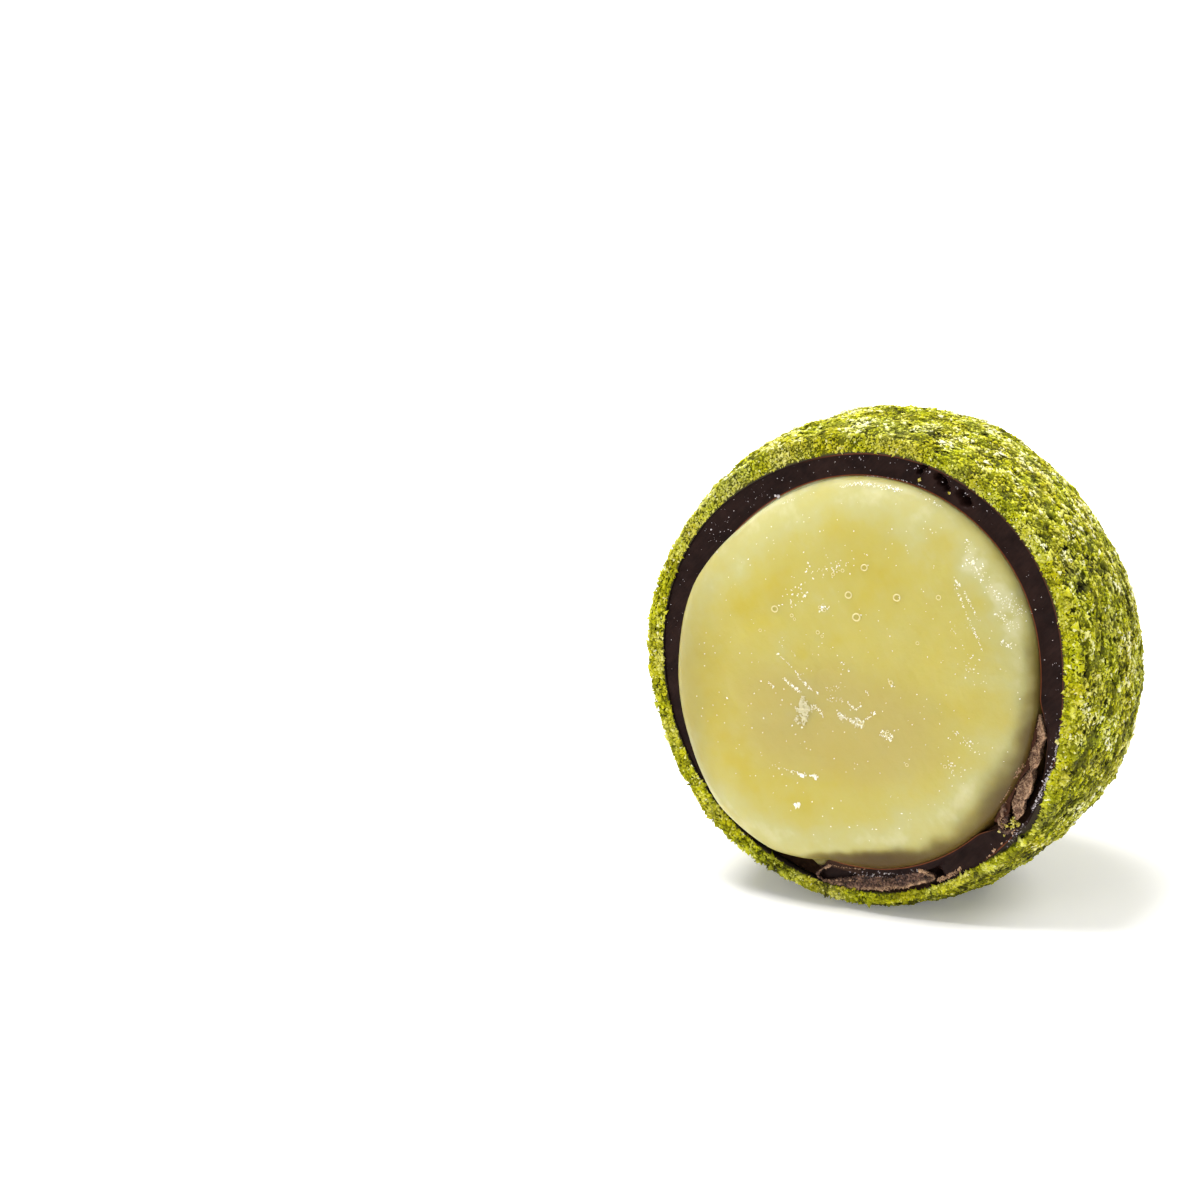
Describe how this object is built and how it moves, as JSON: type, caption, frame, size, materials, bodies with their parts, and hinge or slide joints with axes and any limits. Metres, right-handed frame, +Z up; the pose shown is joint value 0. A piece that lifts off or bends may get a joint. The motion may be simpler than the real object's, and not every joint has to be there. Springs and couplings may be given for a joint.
{
  "type": "chocolate praline",
  "caption": "Ball-shaped praline sliced open: green crumb coating, dark chocolate shell and a pale cream filling that swells out of the cut.",
  "frame": {"origin": "on the flat underside that it rests on, straight below the ball's centre", "axes": "+Z up, the cut faces -Y and leans back 6.5 degrees, +X to the right as the cut is looked at"},
  "size_m": [0.0301, 0.0224, 0.0296],
  "materials": {
    "crumb_coating": "powdery yellow-green crumbs, mottled light and dark",
    "dark_chocolate": "satin, smooth where it was cut",
    "cream_filling": "moist pale yellow cream, softly translucent",
    "broken_chocolate": "rough matte fracture, lighter brown"
  },
  "bodies": {
    "root": {"coating": "crumb_coating", "shell": "dark_chocolate", "filling": "cream_filling", "side_sliver": "broken_chocolate", "bottom_chip": "broken_chocolate"}
  },
  "joints": []
}
